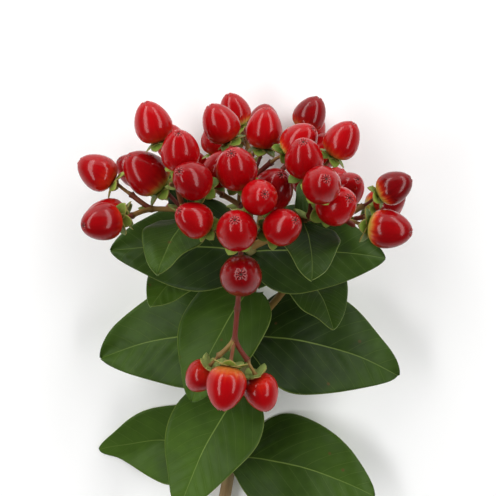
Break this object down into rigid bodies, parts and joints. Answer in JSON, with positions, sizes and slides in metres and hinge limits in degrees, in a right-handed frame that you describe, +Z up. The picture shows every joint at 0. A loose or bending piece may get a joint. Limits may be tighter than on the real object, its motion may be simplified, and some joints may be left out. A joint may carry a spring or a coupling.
{
  "type": "hypericum berry stem",
  "caption": "Cut stem of hypericum in fruit, lying down: woody stem, opposite clasping leaves, side shoots and forked heads of glossy red berries.",
  "frame": {"origin": "middle of the part's extents, on the table that the stem lies on", "axes": "+Z up from the table, +Y along the stem from its cut end to its berries, +X to the right seen from the cut end"},
  "size_m": [0.1094, 0.1976, 0.0915],
  "materials": {
    "bark": "matt tan and green-brown bark, pale pith at the cut",
    "leaf": "satin dark green upper face, pale grey-green underside, fine veins",
    "berry": "glossy red berries with yellow-green bases, light green sepals, red-brown stalks"
  },
  "bodies": {
    "root": {"main_stem": "bark", "leaf_1_a": "leaf", "leaf_1_b": "leaf", "leaf_2_a": "leaf", "leaf_2_b": "leaf", "leaf_3_a": "leaf", "leaf_3_b": "leaf", "leaf_4_a": "leaf", "leaf_4_b": "leaf", "leaf_5_a": "leaf", "leaf_5_b": "leaf", "leaf_low_right_a": "leaf", "leaf_low_right_b": "leaf", "leaf_low_left_a": "leaf", "leaf_low_left_b": "leaf", "leaf_high_right_a": "leaf", "leaf_high_right_b": "leaf", "leaf_high_left_a": "leaf", "leaf_high_left_b": "leaf", "spray_low_right": "berry", "spray_low_left": "berry", "spray_front": "berry", "spray_under": "berry", "spray_high_right": "berry", "spray_high_left": "berry", "spray_terminal": "berry"}
  },
  "joints": []
}
